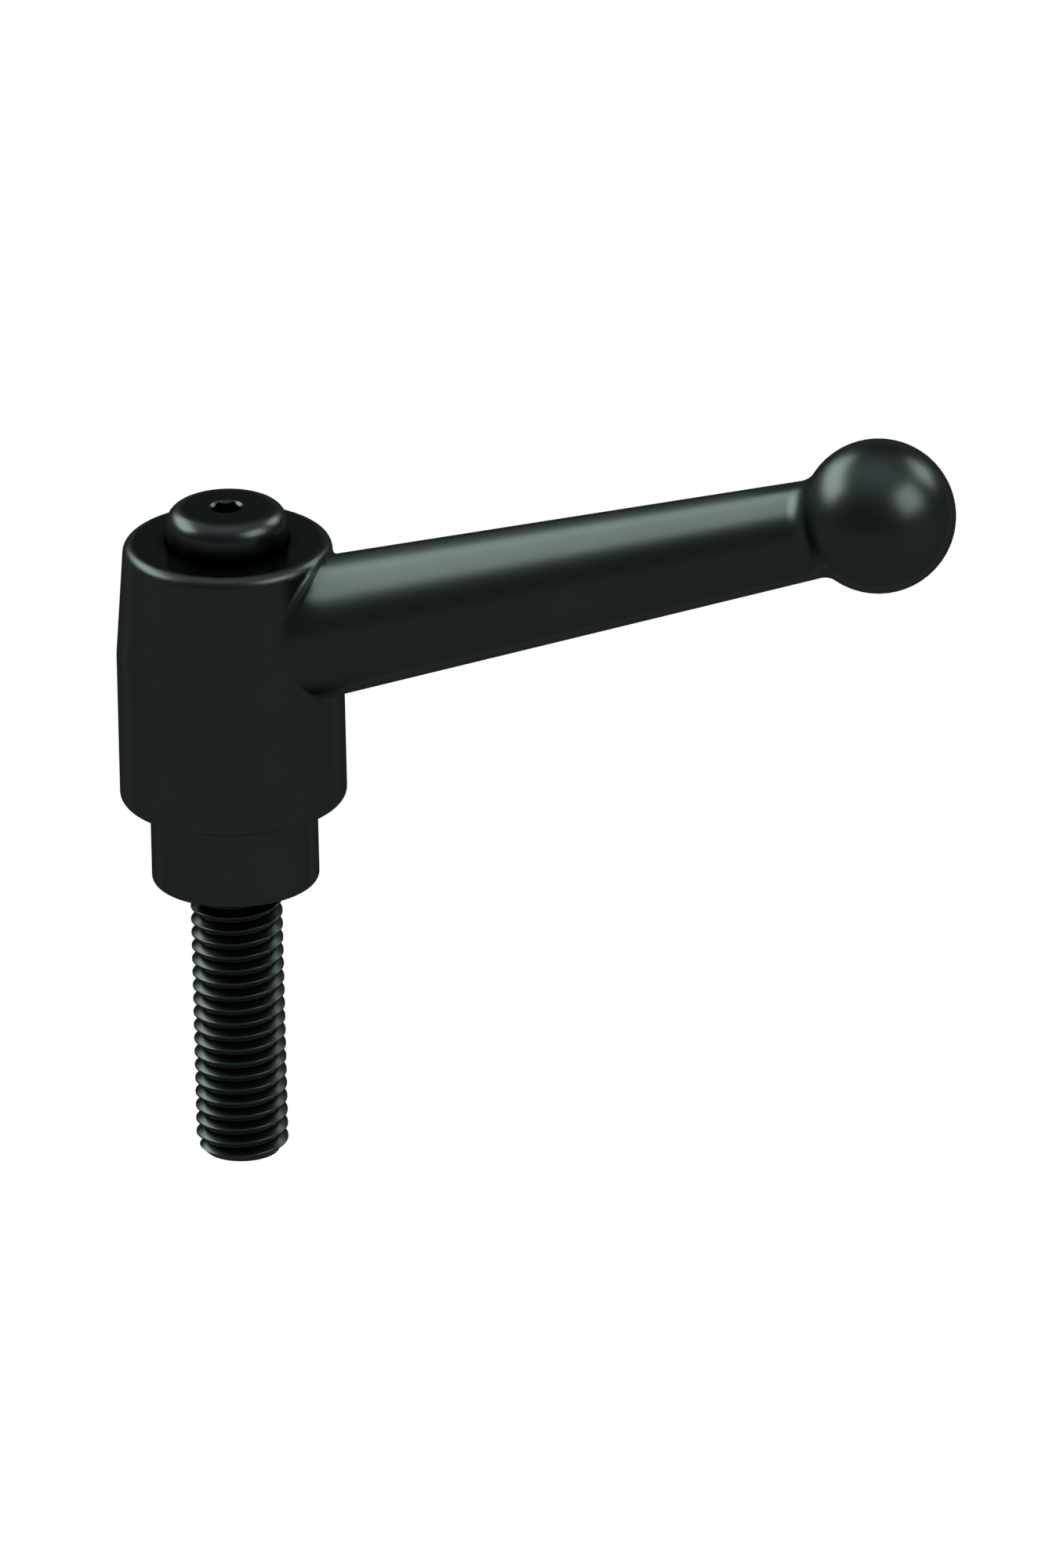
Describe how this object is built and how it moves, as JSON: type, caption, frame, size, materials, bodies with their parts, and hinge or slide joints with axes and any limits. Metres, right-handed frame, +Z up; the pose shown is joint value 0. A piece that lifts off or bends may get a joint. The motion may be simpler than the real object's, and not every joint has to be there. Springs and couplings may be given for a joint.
{
  "type": "adjustable clamping lever",
  "caption": "Clamping lever with a sloping ball-ended arm on a round hub, a threaded stud below and a serrated lift-and-turn coupling inside.",
  "frame": {"origin": "on the stud's axis, in the shank's lower face, which seats on the clamped work", "axes": "+Z up the stud's axis towards the screw head, +X from the hub towards the ball"},
  "size_m": [0.0783, 0.0198, 0.0747],
  "materials": {
    "lever_coating": "black coat on a zinc casting, satin",
    "insert_steel": "black oxide on turned steel, satin",
    "screw_steel": "black oxide on turned steel, satin",
    "spring_steel": "drawn spring wire, bare"
  },
  "bodies": {
    "insert": {"threaded_insert": "insert_steel", "retaining_screw": "screw_steel"},
    "spring": {"compression_spring": "spring_steel"},
    "lever": {"lever": "lever_coating"}
  },
  "joints": [
    {"name": "lever_turn", "type": "hinge", "parent": "insert", "child": "spring", "pos_m": [0, 0, 0], "axis": [0, 0, 1], "continuous": true},
    {"name": "lever_lift", "type": "slide", "parent": "spring", "child": "lever", "axis": [0, 0, 1], "range_m": [0, 0.0036], "stiffness_N_per_m": 1500, "springref_m": -0.002, "deforming": ["compression_spring"]}
  ]
}
